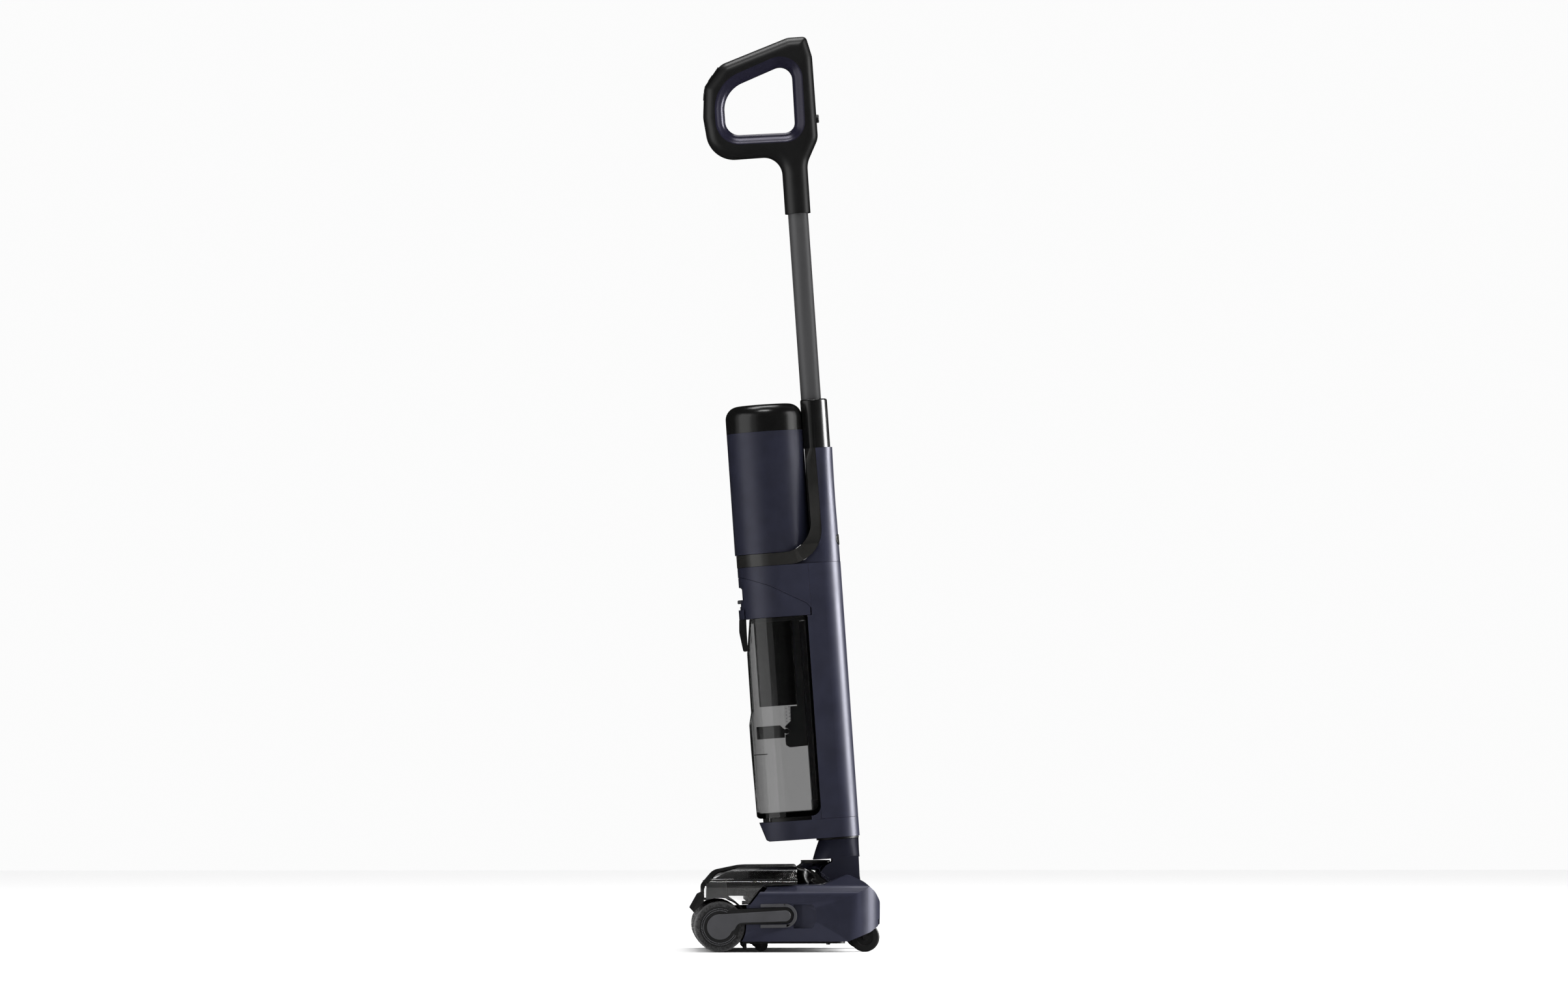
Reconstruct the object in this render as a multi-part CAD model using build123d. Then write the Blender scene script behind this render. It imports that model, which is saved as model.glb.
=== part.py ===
"""Cordless upright wet dry floor scrubber: cleaning head, hinged neck, body with two tanks, tube and loop handle.

Millimetres. +Z is up, +X points to the rear of the machine, the roller is at -X and +Y is its left side.
The origin is on the floor under the middle of the bounding box. The head is modelled straight in this frame.
The body is modelled upright in its own frame and then placed by BODY, which leans it forward over the head.
"""
import os

from build123d import *

# ---- driving dimensions -------------------------------------------------------------------------
GAP = 0.3                   # clearance between pieces that come apart or move
FIT = 0.05                  # radial clearance of a running fit
WALL = 2.4                  # moulded wall

LEAN = 4.0                  # forward lean of the stored body, degrees
BODY_X, BODY_Z = 67.6, 92.6  # origin of the body frame, on the machine's middle plane
BODY = Pos(BODY_X, 0, BODY_Z) * Rot(0, -LEAN, 0)

HEAD_HALF = 118.0           # half width of the cleaning head's shell
HEAD_REAR = 112.5           # rear face of the head
HEAD_FLOOR = 13.0           # lower edge of the head's shell
DECK_Z = 79.0               # deck under the clear cover
PAD_Z = 9.4                 # pad under the head that rests on the dock
ARM_FACE = 121.0            # outer face of the side arms
POCKET_FACE = 115.0         # bottom of the pocket that holds a side arm
SCOOP_FACE = 113.6          # bottom of the finger scoop behind a side arm

ROLLER_X, ROLLER_Z = -80.0, 30.5
ROLLER_R = 30.5
ROLLER_CORE_R = 22.0
ROLLER_HALF = 110.5
MOTOR_R, MOTOR_END = 18.0, 18.3       # brush motor inside the roller, and how near the middle it reaches
DOG_R = 9.0                 # corner radius of the six sided dog in the roller's web
SHAFT_R = 3.0               # motor shafts and rear axles
STUB_R = 4.0                # stub of the release arm in the roller's end
ARM_REAR_X, ARM_REAR_Z = -2.0, 44.2   # centre of the arm's round rear end
ARM_HALF = 9.2
ARM_DISC_R = 23.4

HINGE_X, HINGE_Z, PIN_R = 66.0, 83.0, 5.0
HUB_R = 25.0
HUB_HALF = 29.0
SLOT_HALF = 30.6

COLLAR_X, COLLAR_Z, COLLAR_R = 37.8, 106.2, 17.7

WHEEL_X, WHEEL_R, WHEEL_Y, WHEEL_HALF = 94.0, 17.7, 84.0, 8.0
CASTOR_X, CASTOR_Z, CASTOR_R, CASTOR_Y = -30.0, 9.0, 8.0, 92.0
CASTOR_AXLE_R = 1.5

BODY_FRONT, BODY_REAR = -98.0, 26.0
BODY_HALF = 47.5            # half width of the body
SHELF_Z = 67.0              # shelf that carries both tanks
NECK_TOP = 44.0             # underside of the body
BAND_LOW, BAND_HIGH = 374.7, 389.5
BARREL_R = 46.1
BARREL_X = -53.7            # axis of the motor and battery barrel
CAP_LOW, CAP_TOP = 536.0, 569.0
SPINE_TOP = 513.0
COLLAR_TOP = 572.0
TUBE_X, TUBE_R = 4.9, 12.15
SOCKET_LOW = 797.0
PARTING_X = -14.0           # plane between the frame and the clean water tank
TANK_REAR = -19.4
TANK_LOW, TANK_TOP = 72.0, 312.0
TANK_FLOOR = 6.0            # thickness of the dirty tank's floor
INLET_X, INLET_R = -30.0, 6.0               # hole in that floor, through the tray as well
LID_LOW = 312.5             # underside of the dirty tank's lid
FLOAT_X, FLOAT_Z = -52.5, 174.9       # pivot of the float
HANDLE_HALF = 15.0
CLEAN_KEY_Z, CLEAN_KEY_R = 910.0, 5.0      # self cleaning key on the back of the handle


# ---- helpers ------------------------------------------------------------------------------------
def outline(*corners):
    """Closed face through corners (u, v) or (u, v, radius), rounded where a radius is given."""
    face = make_face(Polyline(*[(c[0], c[1]) for c in corners], close=True))
    for u, v, radius in [c for c in corners if len(c) == 3]:
        corner = face.vertices().sort_by_distance((u, v, 0))[0]
        face = fillet(corner, radius)
    return face


def slab(profile, low, high):
    """Side profile drawn in (x, z), as thick as from y = low to y = high."""
    return Pos(0, high, 0) * extrude(Plane.XZ * profile, high - low)


def mid_slab(profile, half):
    return slab(profile, -half, half)


def column(section, low, high):
    """Plan section drawn in (x, y), as tall as from z = low to z = high."""
    return Pos(0, 0, low) * extrude(section, high - low)


def rod_y(x, z, radius, low, high):
    """Round bar along Y."""
    return Pos(x, (low + high) / 2, z) * Rot(90, 0, 0) * Cylinder(radius, high - low)


def rod_z(x, y, radius, low, high):
    """Round bar along Z."""
    return Pos(x, y, (low + high) / 2) * Cylinder(radius, high - low)


def block(x0, x1, y0, y1, z0, z1):
    return Pos((x0 + x1) / 2, (y0 + y1) / 2, (z0 + z1) / 2) * Box(x1 - x0, y1 - y0, z1 - z0)


def both_sides(shape):
    """The shape and its mirror image on the other side of the machine."""
    return shape + mirror(shape, Plane.XZ)


def plan_hull(*circles):
    """Hull of circles (x, y, radius) in plan."""
    return make_hull([e for x, y, r in circles for e in (Pos(x, y) * Circle(r)).edges()])


def body_section(inset=0.0, front=BODY_FRONT, rear=BODY_REAR, half=BODY_HALF, corner=24.0):
    """Plan section of the body: round at the front, a broad rounded back."""
    r = corner - inset
    y = half - 3.5 - corner
    return plan_hull((front + half, 0, half - inset), (rear - corner, y, r), (rear - corner, -y, r))


def save(shape, name):
    export_step(shape, f"parts/{name}.step")


# ---- cleaning head ------------------------------------------------------------------------------
def head_form(inset=0.0, low=HEAD_FLOOR):
    """Outer form of the head behind the roller: upright walls, rounded rear corners and a crowned rear dome."""
    rear = HEAD_REAR - inset
    side = outline((-56 + inset, low), (-44.3 + inset, 56), (-27 + inset, 78 - inset), (44, DECK_Z + 1 - inset),
                   (57, 85 - inset), (75, 92 - inset, 12), (93, 84 - inset, 25), (106, 72 - inset, 20),
                   (rear, 60 - inset, 14), (rear, 33), (100, 24 + inset, 12), (73, low))
    y = HEAD_HALF - inset
    front = outline((-y, low), (-y, 70 - inset, 10), (-y + 10, 79.5 - inset, 16), (-48, 92.5 - inset, 40),
                    (48, 92.5 - inset, 40), (y - 10, 79.5 - inset, 16), (y, 70 - inset, 10), (y, low))
    plan = outline((-60, -y), (rear, -y, 38 - inset), (rear, y, 38 - inset), (-60, y))
    form = mid_slab(side, HEAD_HALF) & column(plan, low, 100)
    return form & Pos(-60, 0, 0) * extrude(Plane.YZ * front, 180)


def arm_outline(grow=0.0):
    """Side arm: a disc over the roller's end and a bar that runs back along the head."""
    bar = make_hull((Pos(-72, 42) * Circle(ARM_HALF + grow)).edges()
                    + (Pos(ARM_REAR_X, ARM_REAR_Z) * Circle(ARM_HALF + grow)).edges())
    disc = Pos(ROLLER_X, ROLLER_Z) * Circle(ARM_DISC_R + grow)
    return disc + bar


def bracket_outline():
    """U shaped bracket round the rear end of a side arm."""
    def loop(half):
        return make_hull((Pos(ARM_REAR_X, 43.7) * Circle(half)).edges() + (Pos(-60, 43.0) * Circle(half)).edges())
    return (loop(14.2) - loop(10.2)) & Pos(-6, 43) * Rectangle(51, 60)


def hinge_clearance():
    """Room for the neck: a round bed under the hub and a wedge that opens to the rear."""
    bed = rod_y(HINGE_X, HINGE_Z, HUB_R + 1, -SLOT_HALF, SLOT_HALF)
    wedge = outline((HINGE_X - 26, HINGE_Z), (HINGE_X, HINGE_Z - 26), (80, 56.5), (130, 62), (130, 140), (30, 140))
    return bed + mid_slab(wedge, SLOT_HALF)


def base_shell():
    shell = head_form() - head_form(WALL, HEAD_FLOOR - 5)
    shell += both_sides(block(-48, 38, -HEAD_HALF + 1, -112, 27, 57) + block(-38, 38, -HEAD_HALF + 1, -112, 27, 61))
    cheek = block(46, 96, SLOT_HALF, SLOT_HALF + 3, 20, 95) & head_form(1)
    well = block(WHEEL_X - 23, 111, WHEEL_Y - 12.4, WHEEL_Y + 12.4, 12, 41.4) & head_form(0.5)
    shell += both_sides(cheek + well)
    shell -= hinge_clearance()
    front_face = outline((-60, 10), (-52, 10), (-40, 55), (-23.5, 76.3), (-30, 90), (-60, 90))
    shell -= mid_slab(front_face, HEAD_HALF - WALL)
    pocket = slab(arm_outline(0.4) + make_face(bracket_outline().faces()[0].outer_wire()), -130, -POCKET_FACE)
    scoop = outline((8, -130), (8, -SCOOP_FACE), (17, -SCOOP_FACE, 12), (36, -HEAD_HALF - 0.2), (36, -130))
    shell -= both_sides(pocket)
    scoop_side = Pos(16, 43) * Circle(20) + Pos(12, 43) * Rectangle(10, 40)
    shell -= both_sides(column(scoop, 28.6, 57.2) & slab(scoop_side, -130, -SCOOP_FACE + 1))
    shell -= rod_y(ROLLER_X, ROLLER_Z, ROLLER_R + 1, -130, 130)
    shell -= both_sides(rod_y(HINGE_X, HINGE_Z, PIN_R, SLOT_HALF - 1, SLOT_HALF + 4))
    shell -= both_sides(block(WHEEL_X - 21, 130, WHEEL_Y - 10, WHEEL_Y + 10, 0, 39))
    return shell - both_sides(rod_y(WHEEL_X, WHEEL_R, SHAFT_R + FIT, WHEEL_Y - 13, WHEEL_Y + 13))


def base_pan():
    """Underside: floor plate, rear wall of the roller chamber and the ear that carries the drive."""
    plate = outline((-52, -115), (70, -115, 12), (70, 115, 12), (-52, 115))
    pan = column(plate, 10.4, 12.8)
    chamber = Circle(35.4) - Circle(33.2)
    sector = outline((0, 0), (60, -48), (60, 33), (18, 60))
    pan += Pos(ROLLER_X, 0, ROLLER_Z) * mid_slab(chamber & sector, 111.3)
    pan -= block(-60, -30, -34, 34, 34, 56)
    pan += block(-10, 30, -35, 35, PAD_Z, 11)
    ear = (Pos(ROLLER_X, ROLLER_Z) * Circle(22)) + Pos(-61, 35) * Rectangle(24, 30)
    pan += slab(ear, 111.2, 114.8)
    for side in (-1, 1):
        pan -= block(CASTOR_X - 11, CASTOR_X + 11, side * CASTOR_Y - 7.5, side * CASTOR_Y + 7.5, 0, 30)
        pan += block(CASTOR_X - 5, CASTOR_X + 5, side * CASTOR_Y + 6, side * CASTOR_Y + 9, 6, 12)
        pan += block(CASTOR_X - 5, CASTOR_X + 5, side * CASTOR_Y - 9, side * CASTOR_Y - 6, 6, 12)
        pan -= rod_y(CASTOR_X, CASTOR_Z, CASTOR_AXLE_R + FIT, side * CASTOR_Y - 12, side * CASTOR_Y + 12)
    return pan


def squeegee():
    return block(-50.5, -47.6, -108, 108, 3.5, 10.2)


def side_brackets():
    return both_sides(slab(bracket_outline(), -120, -POCKET_FACE))


def release_arm():
    """Right side arm, which pulls the roller out; its stub runs in the roller's end."""
    arm = slab(arm_outline(), -ARM_FACE, -POCKET_FACE - 0.2)
    arm += rod_y(ROLLER_X, ROLLER_Z, STUB_R, -POCKET_FACE - 0.3, -98)
    return arm


def drive_cover():
    """Left side arm, fixed to the head over the drive's wires."""
    return slab(arm_outline(), POCKET_FACE + 0.1, ARM_FACE) - slab(arm_outline(-2), POCKET_FACE, 119)


def brush_motor():
    """Motor that stands inside the roller, fixed to the left side."""
    can = rod_y(ROLLER_X, ROLLER_Z, MOTOR_R, MOTOR_END, 111)
    return can - rod_y(ROLLER_X, ROLLER_Z, SHAFT_R + FIT, 0, MOTOR_END + 24)


def drive_dog():
    """Six sided dog in the roller's web, whose stub plugs into the motor."""
    dog = slab(Pos(ROLLER_X, ROLLER_Z) * RegularPolygon(DOG_R, 6), 0, MOTOR_END - GAP)
    return dog + rod_y(ROLLER_X, ROLLER_Z, SHAFT_R, MOTOR_END - 1, MOTOR_END + 22)


def roller_fabric():
    sleeve = rod_y(ROLLER_X, ROLLER_Z, ROLLER_R, -ROLLER_HALF - 2, ROLLER_HALF - 0.5)
    return sleeve - rod_y(ROLLER_X, ROLLER_Z, ROLLER_CORE_R + 0.1, -130, 130)


def roller_tube():
    """Core of the roller: an open left end for the motor, a web for the dog, a bearing in the right end."""
    bore = MOTOR_R + 1.4
    core = rod_y(ROLLER_X, ROLLER_Z, ROLLER_CORE_R, -ROLLER_HALF, ROLLER_HALF)
    core -= rod_y(ROLLER_X, ROLLER_Z, bore, MOTOR_END - GAP, 130)
    core -= rod_y(ROLLER_X, ROLLER_Z, bore, -96, -2)
    core -= rod_y(ROLLER_X, ROLLER_Z, STUB_R + FIT, -130, -95)
    return core - slab(Pos(ROLLER_X, ROLLER_Z) * RegularPolygon(DOG_R + GAP, 6), -3, MOTOR_END)


def cover_form(inset=0.0):
    """Clear brush cover: a long hood that is crowned from side to side."""
    side = outline((-98.5 + inset, 40), (-98.5 + inset, 77, 8), (-84, 95 - inset, 16), (-50, 102.3 - inset, 60),
                   (12.8, 103.2 - inset), (12.8, 40))
    y = 116 - inset
    front = outline((-y, 40), (-y, 84, 12), (-88, 101 - inset, 30), (0, 104.5 - inset, 200),
                    (88, 101 - inset, 30), (y, 84, 12), (y, 40))
    return mid_slab(side, 130) & Pos(-130, 0, 0) * extrude(Plane.YZ * front, 200)


def brush_cover():
    cover = cover_form() - cover_form(2.2)
    below = outline((-120, 20), (-120, 62), (-99.5, 62), (-78, 66), (-62, 61), (-50, 57.5), (-45.4, 57.5),
                    (-28.2, 79.2), (20, DECK_Z + 1.8), (20, 20))
    cover -= mid_slab(below, 130)
    return cover - rod_y(ROLLER_X, ROLLER_Z, 34, -130, 130)


def cover_bumper():
    """Rubber lipped bar along the front of the cover, close round the roller."""
    bar = outline((-98.8, 68), (-98.8, 60.5), (-110.8, 47.8), (-112.5, 49.2, 1), (-103, 66, 3))
    bar_solid = mid_slab(bar, 113)
    return bar_solid - rod_y(ROLLER_X, ROLLER_Z, 33.4, -130, 130)


def duct_collar():
    """Clear flared collar at the rear of the deck that leads the suction path up to the neck."""
    def flare(grow):
        foot = Pos(COLLAR_X + 1, 0, DECK_Z + 1.4) * Ellipse(25.5 + grow, 34 + grow)
        waist = Pos(COLLAR_X, 0, 92) * Circle(18.5 + grow)
        top = Pos(COLLAR_X, 0, COLLAR_Z) * Circle(COLLAR_R + grow)
        return loft([foot, waist, top])
    collar = flare(0) - flare(-2)
    collar -= block(0, 13.6, -50, 50, 60, 120)
    return collar - rod_y(HINGE_X, HINGE_Z, HUB_R + 1, -60, 60) - head_form(-0.3)


def duct_seal():
    ring = Circle(COLLAR_R) - Circle(13.4)
    seal = Pos(COLLAR_X, 0, 0) * column(ring, COLLAR_Z + 0.05, COLLAR_Z + 2)
    return seal


def suction_hose():
    """Bellows between the deck and the neck."""
    hose = column(Circle(11.5) - Circle(10), DECK_Z + 2, 108.2)
    for k in range(7):
        hose += column(Circle(12.6) - Circle(11), 84 + 3.4 * k, 85.6 + 3.4 * k)
    return Pos(COLLAR_X, 0, 0) * hose - rod_y(HINGE_X, HINGE_Z, HUB_R + 0.8, -60, 60)


def rear_wheel(side):
    y = side * WHEEL_Y
    wheel = rod_y(WHEEL_X, WHEEL_R, WHEEL_R, y - WHEEL_HALF, y + WHEEL_HALF)
    wheel = fillet(wheel.edges().filter_by(GeomType.CIRCLE), 2.5)
    wheel -= both_sides(rod_y(WHEEL_X, WHEEL_R, 10, WHEEL_Y + WHEEL_HALF - 1.5, WHEEL_Y + 20))
    return wheel - rod_y(WHEEL_X, WHEEL_R, SHAFT_R + FIT, y - 20, y + 20)


def support_wheel(side):
    y = side * CASTOR_Y
    wheel = rod_y(CASTOR_X, CASTOR_Z, CASTOR_R, y - 5.5, y + 5.5)
    wheel = fillet(wheel.edges().filter_by(GeomType.CIRCLE), 1)
    return wheel - rod_y(CASTOR_X, CASTOR_Z, CASTOR_AXLE_R + FIT, y - 20, y + 20)


def wheel_axles():
    axles = both_sides(rod_y(WHEEL_X, WHEEL_R, SHAFT_R, WHEEL_Y - 12, WHEEL_Y + 12))
    return axles + both_sides(rod_y(CASTOR_X, CASTOR_Z, CASTOR_AXLE_R, CASTOR_Y - 9, CASTOR_Y + 9))


def hinge_pins():
    return both_sides(rod_y(HINGE_X, HINGE_Z, PIN_R, HUB_HALF - 12, SLOT_HALF + 3))


def charging_contacts():
    """Two plates under the rear of the pan that sit on the dock's contacts."""
    return both_sides(block(56, 64, 12, 20, 9.6, 10.3))


def base_screws():
    screw = rod_z(0, 0, 2.4, 8.6, 10.3)
    spots = [(-40, 60), (-40, -60), (50, 95), (50, -95), (50, 30), (50, -30)]
    return Compound([Pos(x, y, 0) * screw for x, y in spots])


# ---- neck ---------------------------------------------------------------------------------------
def neck_yoke():
    """Hub on the hinge pins, blended into a round neck under the body."""
    neck_low = 18.5
    low = Pos(-3.5, 0, neck_low) * RectangleRounded(56, 2 * HUB_HALF, 18)
    high = Pos(0, 0, NECK_TOP - 3) * Circle(25.2)
    neck = BODY * loft([low, high])
    web = outline((57.5, HINGE_Z), (57.5, 112), (89, 114), (90.5, HINGE_Z))
    neck += mid_slab(web, HUB_HALF)
    neck += rod_y(HINGE_X, HINGE_Z, HUB_R, -HUB_HALF, HUB_HALF)
    neck -= rod_y(HINGE_X, HINGE_Z, PIN_R + FIT, -60, 60)
    duct = Pos(COLLAR_X + 3, 0, 0) * column(Circle(11), 100, 150)
    return neck - duct


def swivel_ring():
    return BODY * column(Circle(25.6) - Circle(12), NECK_TOP - 2.9, NECK_TOP - 0.3)


# ---- body: fixed shells -------------------------------------------------------------------------
def lower_body():
    """Chin and lower body under the tanks."""
    side = outline((-92.5, SHELF_Z), (-84.5, NECK_TOP, 3), (BODY_REAR + 1, NECK_TOP), (BODY_REAR + 1, SHELF_Z))
    cavity = outline((-87.5, SHELF_Z + 1), (-81.5, NECK_TOP + WALL, 3), (40, NECK_TOP + WALL), (40, SHELF_Z + 1))
    shell = mid_slab(side, 60) & column(body_section(), 40, 80)
    shell -= mid_slab(cavity, 60) & column(body_section(WALL), 40, 80)
    return BODY * (shell - rod_z(-24, 0, 10, 30, 50))


def tank_tray():
    """Black tray that the dirty tank stands on, with a groove across it."""
    tray = column(body_section(WALL + 0.2), SHELF_Z - 3, SHELF_Z - GAP) & block(-85.6, 40, -60, 60, 50, 80)
    step = column(body_section(5), SHELF_Z - 1, TANK_LOW - GAP)
    tray += step & (block(-85.4, TANK_REAR - 12, -60, 60, 50, 80) + block(-87.6, -80, -60, 60, SHELF_Z + FIT, 80))
    tray -= block(-80.8, -79, -60, 60, SHELF_Z, 80)
    return BODY * (tray - rod_z(INLET_X, 0, INLET_R + 3, 50, 80))


def tank_cradle():
    """Body coloured wedge behind the dirty tank's round lower corner."""
    wedge = block(TANK_REAR - 11.5, TANK_REAR + 0.2, -60, 60, SHELF_Z + FIT, TANK_LOW + 11)
    wedge = (wedge & column(body_section(0.1), 60, 90)) - mid_slab(dirty_side(-GAP), 60)
    return BODY * (wedge - rod_z(INLET_X, 0, INLET_R + 3, 50, 80))


def spine_frame():
    """Back plate between the two tanks."""
    return BODY * block(TANK_REAR + GAP, PARTING_X - 0.1, -39, 39, SHELF_Z, TANK_TOP - 0.5)


def lid_seam(offset=0.0):
    """Side profile of everything above the seam over the dirty tank's lid."""
    z = offset
    return outline((-110, 363.4 + z), (-94, 363 + z, 20), (-62, 350.6 + z, 60), (-19, 327 + z, 8),
                   (-11.5, 318 + z, 6), (-10.4, 308 + z), (-10.4, 400), (-110, 400))


def mid_housing():
    side = lid_seam() & Pos(-60, 340) * Rectangle(2 * (60 + PARTING_X), 2 * 34.4)
    shell = mid_slab(side, 60) & column(body_section(), 300, 380)
    room = outline((-90, 371.9), (-90, 367, 2), (-62, 355, 20), (-24, 333.5), (-18, 333.5), (-18, 371.9))
    room_section = body_section(WALL)
    return BODY * (shell - (mid_slab(room, 60) & column(room_section, 300, 371.9)))


def band_line(shift):
    """Lower and rear edge of the glossy band, moved inwards by shift."""
    rear = 5.3 - 0.83 * shift
    return [(-120, BAND_LOW + shift), (rear, BAND_LOW + shift, 42 - 0.41 * shift), (rear, 700), (-120, 700)]


def rear_form(inset=0.0):
    """Taper from the body's section up to the slim spine under the tube."""
    low = Pos(0, 0, 330) * body_section(inset, front=-70)
    mid = Pos(0, 0, 410) * plan_hull((-20, 0, 34 - inset), (5, 19, 20.5 - inset), (5, -19, 20.5 - inset))
    high = Pos(0, 0, SPINE_TOP) * plan_hull((9.6, 0, 16.8 - inset), (4.5, 4, 14 - inset), (4.5, -4, 14 - inset))
    return loft([low, mid, high])


def spine_cover():
    """Rear cover behind the barrel, tapering to the tube."""
    keep = column(Rectangle(400, 200), BAND_LOW, SPINE_TOP)
    ahead = mid_slab(outline(*band_line(-0.2)), 80)
    shell = (rear_form() & keep) - ahead
    core = (rear_form(WALL) & column(Rectangle(400, 200), BAND_LOW - 5, SPINE_TOP - 8)) \
        - mid_slab(outline(*band_line(-3)), 80)
    return BODY * (shell - core - button_room(0.3))


def button_room(grow):
    """Wide pill of the clean tank's release button, across the spine's back."""
    pill = outline((-31 - grow, 394.5 - grow, 6), (31 + grow, 394.5 - grow, 6), (31 + grow, 407 + grow, 6),
                   (-31 - grow, 407 + grow, 6))
    return Pos(14.5 - grow, 0, 0) * extrude(Plane.YZ * pill, 20)


def clean_tank_button():
    proud = rear_form(-0.6) & button_room(0)
    return BODY * (proud - rear_form(WALL + 1))


def trim_band():
    """Glossy band: sweeps down the front of the spine and forward under the barrel."""
    band = mid_slab(outline(*band_line(0)), 80) - mid_slab(outline(*band_line(14.6)), 80)
    rear = rear_form(0.2) & column(Rectangle(400, 200), BAND_LOW, SPINE_TOP)
    seat = column(body_section(-0.3), BAND_LOW, BAND_HIGH + 8)
    tray = column(Pos(-60, 0) * Rectangle(84, 200) & body_section(4), BAND_LOW + WALL, BAND_HIGH + 9)
    return BODY * ((band & (rear + seat)) - tray)


def upper_housing():
    """Barrel for the motor and the battery."""
    side = outline((-120, BAND_HIGH + 0.3), (-7, BAND_HIGH + 0.3, 35.5), (-7, CAP_LOW), (-120, CAP_LOW))
    shell = mid_slab(side, 60) & rod_z(BARREL_X, 0, BARREL_R, 380, CAP_LOW)
    return BODY * (shell - rod_z(BARREL_X, 0, BARREL_R - WALL, 403, CAP_LOW + 1))


def top_cap():
    cap = rod_z(BARREL_X, 0, BARREL_R, CAP_LOW + 0.1, CAP_TOP)
    cap = fillet(cap.edges().filter_by(GeomType.CIRCLE).sort_by(Axis.Z)[-1], 16)
    cap -= rod_z(BARREL_X, 0, BARREL_R - WALL, CAP_LOW - 1, CAP_TOP - 18)
    return BODY * (cap - rod_z(BARREL_X, 0, 27.2, CAP_TOP - 1.5, CAP_TOP + 1))


def display_lens():
    return BODY * rod_z(BARREL_X, 0, 27, CAP_TOP - 1.4, CAP_TOP)


def battery_pack():
    """Six cells in a ring, joined by their end plates."""
    pack = column(Circle(31), 456, 459) + column(Circle(31), 526, 529)
    for k in range(6):
        pack += Rot(0, 0, 60 * k) * rod_z(20, 0, 9, 458, 527)
    return BODY * Pos(BARREL_X, 0, 0) * pack


def suction_motor():
    can = rod_z(BARREL_X, 0, 36, 404, 450) - rod_z(BARREL_X, 0, 33, 406, 424)
    can -= rod_z(BARREL_X, 0, 14, 400, 408)
    return BODY * (can - rod_z(BARREL_X, 0, SHAFT_R + FIT, 420, 440))


def motor_fan():
    fan = rod_z(BARREL_X, 0, 30, 408, 410) + rod_z(BARREL_X, 0, SHAFT_R, 408, 438)
    for k in range(9):
        fan += Pos(BARREL_X, 0, 0) * Rot(0, 0, 40 * k) * block(6, 29, -0.8, 0.8, 409, 421)
    return BODY * fan


def tube_collar():
    collar = rod_z(6.8, 0, 17.3, SPINE_TOP + 0.2, COLLAR_TOP)
    collar = fillet(collar.edges().filter_by(GeomType.CIRCLE).sort_by(Axis.Z)[-1], 2.5)
    collar -= rod_z(BARREL_X, 0, BARREL_R + GAP, 500, 600)
    return BODY * (collar - rod_z(TUBE_X, 0, TUBE_R + FIT, 526, 600))


def handle_tube():
    return BODY * (rod_z(TUBE_X, 0, TUBE_R, 526.2, 842) - rod_z(TUBE_X, 0, TUBE_R - 1.2, 520, 850))


# ---- clean water tank ---------------------------------------------------------------------------
def clean_tank():
    behind = block(PARTING_X + 0.2, 60, -80, 80, SHELF_Z + GAP, BAND_LOW - GAP)
    tank = column(body_section(), 40, 400) & behind
    room = block(PARTING_X + WALL, 60, -80, 80, SHELF_Z + 4, BAND_LOW - 10)
    tank -= column(body_section(WALL), 40, 400) & room
    flange = column(body_section() - body_section(WALL), SHELF_Z + GAP, TANK_TOP)
    tank += flange & block(PARTING_X - 4.9, PARTING_X + 1, -80, 80, 40, 400)
    tank -= rod_z(4, 0, 15, BAND_LOW - 8, BAND_LOW + 5)
    return BODY * (tank - rod_z(4, 0, 11 + FIT, BAND_LOW - 15, BAND_LOW))


def tank_plug():
    plug = rod_z(4, 0, 14.6, BAND_LOW - 7.9, BAND_LOW - 4) + rod_z(4, 0, 11, BAND_LOW - 14, BAND_LOW - 7)
    return BODY * (plug + block(-6, 14, -1.5, 1.5, BAND_LOW - 5, BAND_LOW - 1))


# ---- dirty water tank ---------------------------------------------------------------------------
def dirty_side(inset=0.0, high=TANK_TOP, floor=0.0):
    low = TANK_LOW + (floor or inset)
    rear = TANK_REAR - inset
    return outline((-87.2 + inset, high), (-93.0 + inset, 271, 20), (-93.2 + inset, 200, 6),
                   (-97.3 + inset, 183, 6), (-95 + inset, low, 4), (rear, low, 11 - inset), (rear, high))


def dirty_form(inset=0.0, high=TANK_TOP, floor=0.0):
    return mid_slab(dirty_side(inset, high, floor), 60) & column(body_section(1.2 + inset), 60, 330)


def dirty_tank():
    tank = dirty_form() - dirty_form(2.2, TANK_TOP + 3, TANK_FLOOR)
    return BODY * (tank - rod_z(INLET_X, 0, INLET_R, 60, 80))


def dirty_tank_lid():
    """Lid with the finger notch, the latch's slot and a lip at the front."""
    side = (Pos(-60, LID_LOW + 32) * Rectangle(90, 64)) - lid_seam(-0.4)
    side -= outline((-110, 335), (-93.8, 335, 2), (-93.8, 351, 3), (-110, 351))
    lid = mid_slab(side, 60) & column(body_section(0.2), 300, 380)
    room = outline((-88, 300), (-88, 332, 4), (-60, 340, 20), (-24, 320), (-24, 300))
    lid -= mid_slab(room, 60) & column(body_section(WALL + 1), 300, 380)
    lid = lid & block(-110, PARTING_X - 0.4, -60, 60, LID_LOW, 380)
    lip = column(plan_hull((-56, 0, 44.0)), LID_LOW, 324) & block(-101, -94, -30, 30, 300, 330)
    return BODY * (lid + lip - block(-110, -91.5, -10.4, 10.4, 328, 336.4))


def lid_seal():
    """Soft ring in the joint between the lid and the tank."""
    outer = body_section(3.7) & Pos(-53.8, 0) * Rectangle(63, 200)
    inner = body_section(5.7) & Pos(-53.8, 0) * Rectangle(59, 200)
    return BODY * column(outer - inner, TANK_TOP - 5, TANK_TOP - 0.2)


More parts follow.
